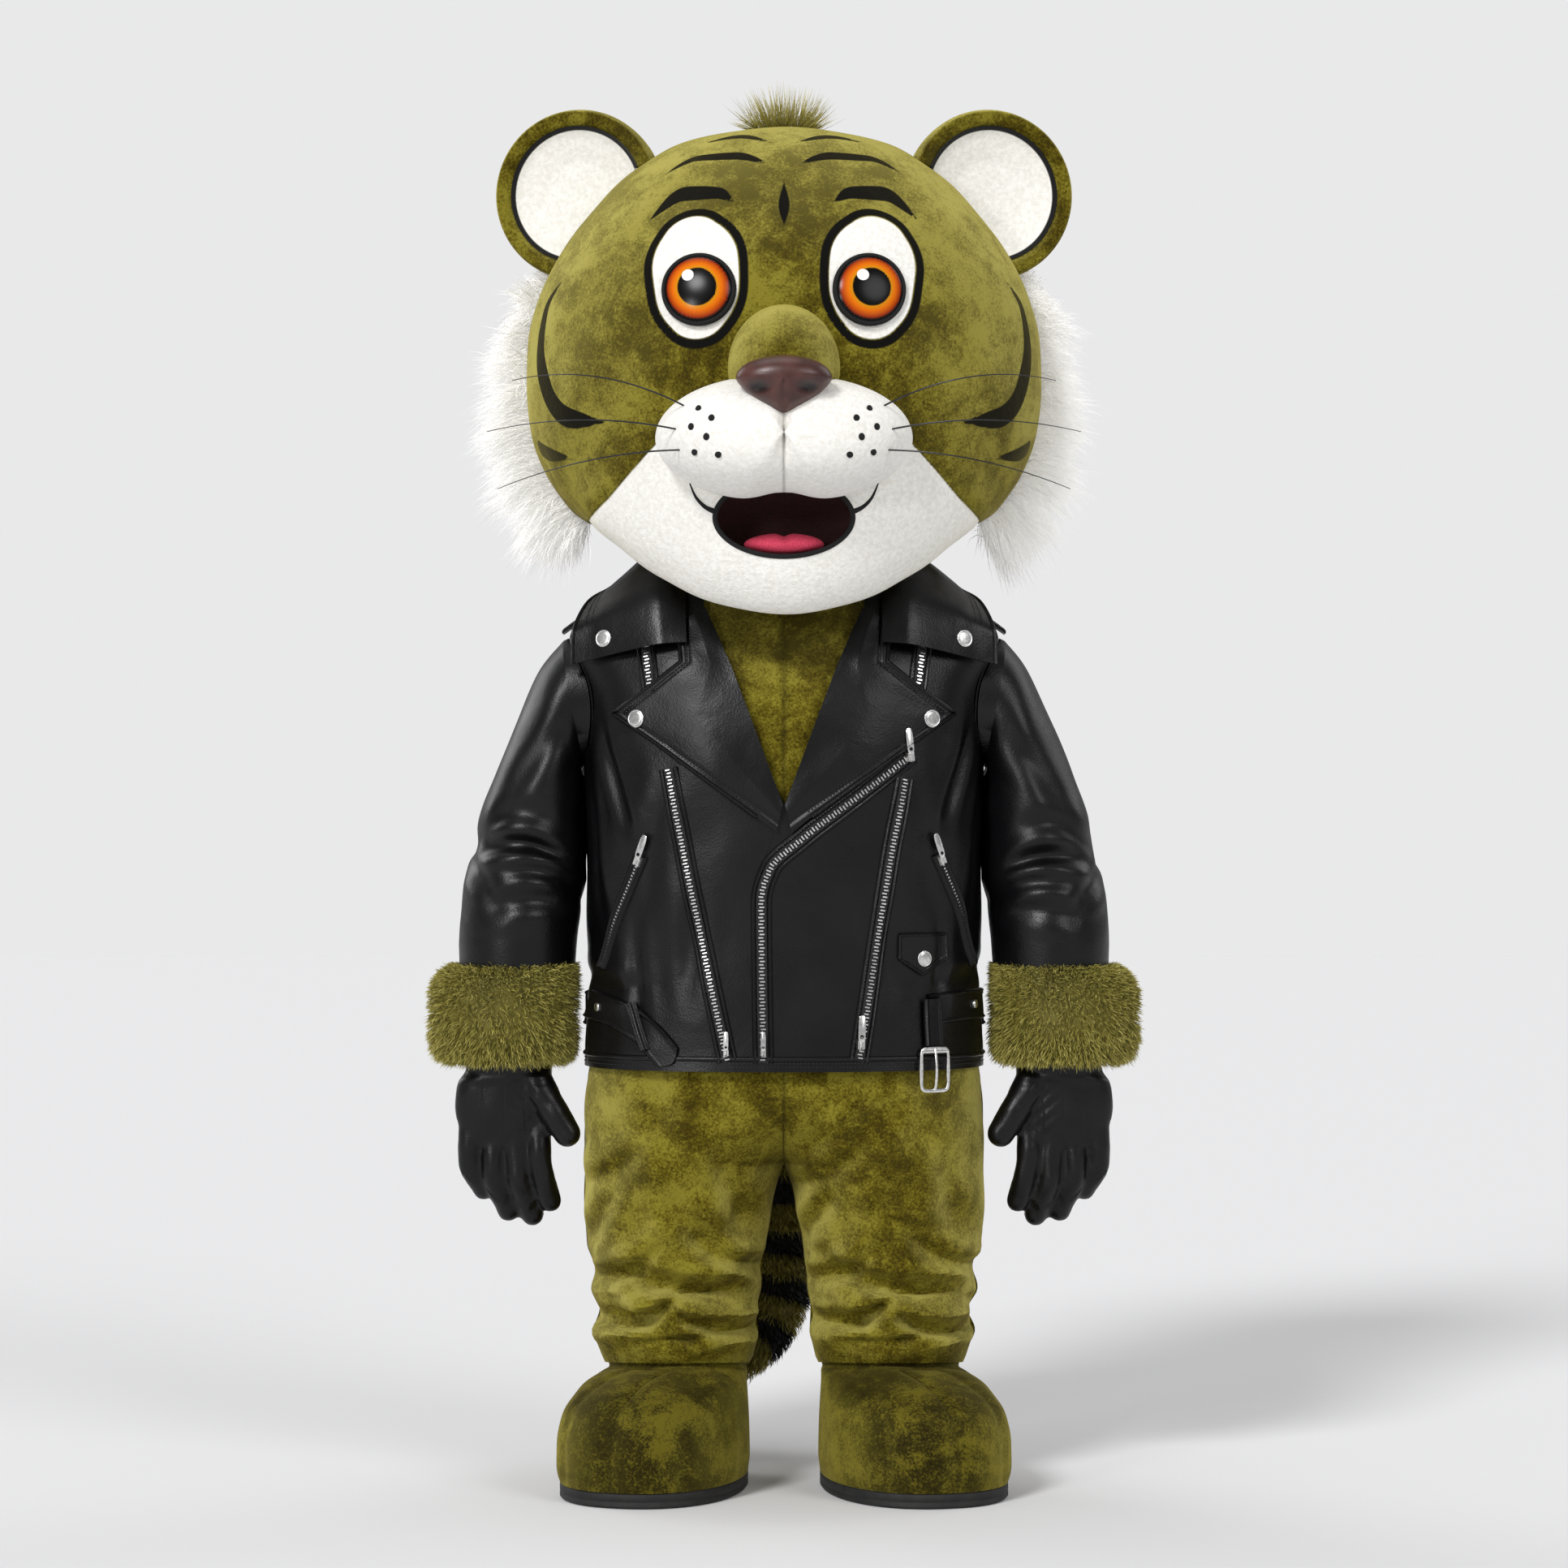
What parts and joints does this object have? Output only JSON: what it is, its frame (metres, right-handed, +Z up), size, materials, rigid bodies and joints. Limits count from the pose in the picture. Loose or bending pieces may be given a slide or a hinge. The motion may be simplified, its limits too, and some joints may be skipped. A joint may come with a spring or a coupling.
{
  "type": "tiger mascot costume",
  "caption": "Tiger mascot costume worn as a set: hollow plush head, plush suit with tail and boots, leather biker jacket with fur cuffs, and gloves.",
  "frame": {"origin": "On the ground, under the middle of the costume's bounding box.", "axes": "+Z is up and the costume stands on its soles; it faces -Y, and its wearer's left is +X."},
  "size_m": [1.038, 0.8081, 2.014],
  "materials": {
    "olive_plush": "short crushed pile, matt with a soft sheen",
    "white_plush": "brushed fleece, matt",
    "black_leather": "grained, semi-gloss",
    "olive_fur": "long pile, matt",
    "white_fur": "long pile, matt",
    "nickel_plated_zinc": "bright plated",
    "black_rubber": "matt, ribbed",
    "nose_vinyl": "soft vinyl, satin",
    "eye_plastic": "clear coated, glossy",
    "mouth_cloth": "felt, matt",
    "tongue_fleece": "fleece, matt"
  },
  "bodies": {
    "root": {"belt_back": "black_leather", "belt_loop": "black_leather", "belt_strap_left": "black_leather", "belt_strap_right": "black_leather", "boot_left": "olive_plush", "boot_right": "olive_plush", "buckle": "nickel_plated_zinc", "cheek_ruff_left": "white_fur", "cheek_ruff_right": "white_fur", "coin_flap": "black_leather", "collar": "black_leather", "cuff_left": "olive_fur", "cuff_right": "olive_fur", "ear_left": "olive_plush", "ear_lining_left": "white_plush", "ear_lining_right": "white_plush", "ear_right": "olive_plush", "epaulette_left": "black_leather", "epaulette_right": "black_leather", "eye_left": "eye_plastic", "eye_right": "eye_plastic", "face_lower": "white_plush", "face_upper": "olive_plush", "glove_left": "black_leather", "glove_right": "black_leather", "head_back_left": "olive_plush", "head_back_right": "olive_plush", "jacket_back_left": "black_leather", "jacket_back_right": "black_leather", "jacket_front_left": "black_leather", "jacket_front_right": "black_leather", "jacket_yoke": "black_leather", "lapel_left": "black_leather", "lapel_right": "black_leather", "mouth_lining": "mouth_cloth", "muzzle": "white_plush", "nose": "nose_vinyl", "nose_bridge": "olive_plush", "pocket_zip_left": "nickel_plated_zinc", "pocket_zip_right": "nickel_plated_zinc", "sleeve_left": "black_leather", "sleeve_right": "black_leather", "sole_left": "black_rubber", "sole_right": "black_rubber", "stud_coin_flap": "nickel_plated_zinc", "stud_collar_left": "nickel_plated_zinc", "stud_collar_right": "nickel_plated_zinc", "stud_lapel_left": "nickel_plated_zinc", "stud_lapel_right": "nickel_plated_zinc", "suit_back_left": "olive_plush", "suit_back_right": "olive_plush", "suit_front_left": "olive_plush", "suit_front_right": "olive_plush", "suit_neck_band": "olive_plush", "tail": "olive_fur", "tongue": "tongue_fleece", "tuft": "olive_fur", "zip_left": "nickel_plated_zinc", "zip_main": "nickel_plated_zinc", "zip_right": "nickel_plated_zinc"}
  },
  "joints": []
}
